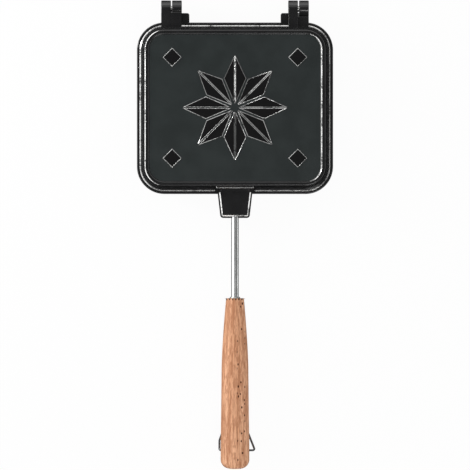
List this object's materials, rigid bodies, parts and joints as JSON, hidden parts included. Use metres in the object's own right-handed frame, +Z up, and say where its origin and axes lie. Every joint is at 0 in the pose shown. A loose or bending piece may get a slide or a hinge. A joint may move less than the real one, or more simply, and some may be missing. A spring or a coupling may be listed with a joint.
{
  "type": "pie iron",
  "caption": "Hinged two-half cooking iron: square shallow pans on steel rods with half-round wooden grips, held shut by a swinging wire bail.",
  "frame": {"origin": "centre of the iron's box seen from above, on the plane that the lower half's foot ring rests on", "axes": "+Y from the grips to the hinge, +X to the right with the hinge away from the user, +Z up, square to the parting plane"},
  "size_m": [0.147, 0.351, 0.038],
  "materials": {
    "coated_casting": "cast aluminium with a dark non-stick coating, relief glossier than the panel",
    "rod_steel": "drawn bright steel",
    "pin_steel": "plain zinc-plated steel",
    "wire_steel": "drawn spring wire",
    "beech": "oiled beech with brown flecks"
  },
  "bodies": {
    "lower_half": {"lower_plate": "coated_casting", "lower_rod": "rod_steel", "lower_rod_pin": "pin_steel", "lower_front_washer": "pin_steel", "lower_grip": "beech", "lower_end_washer": "pin_steel", "lower_end_nut": "pin_steel"},
    "upper_half": {"upper_plate": "coated_casting", "hinge_pin_left": "pin_steel", "hinge_pin_right": "pin_steel", "upper_rod": "rod_steel", "upper_rod_pin": "pin_steel", "upper_front_washer": "pin_steel", "upper_grip": "beech", "upper_end_washer": "pin_steel", "upper_end_nut": "pin_steel"},
    "bail": {"latch_bail": "wire_steel"}
  },
  "joints": [
    {"name": "lid_hinge", "type": "hinge", "parent": "lower_half", "child": "upper_half", "pos_m": [0, 0.16912, 0.019], "axis": [-1, 0, 0], "range_deg": [0, 180]},
    {"name": "bail_swing", "type": "hinge", "parent": "lower_half", "child": "bail", "pos_m": [0, -0.16203, 0.0145], "axis": [-1, 0, 0], "range_deg": [-19, 271]}
  ]
}
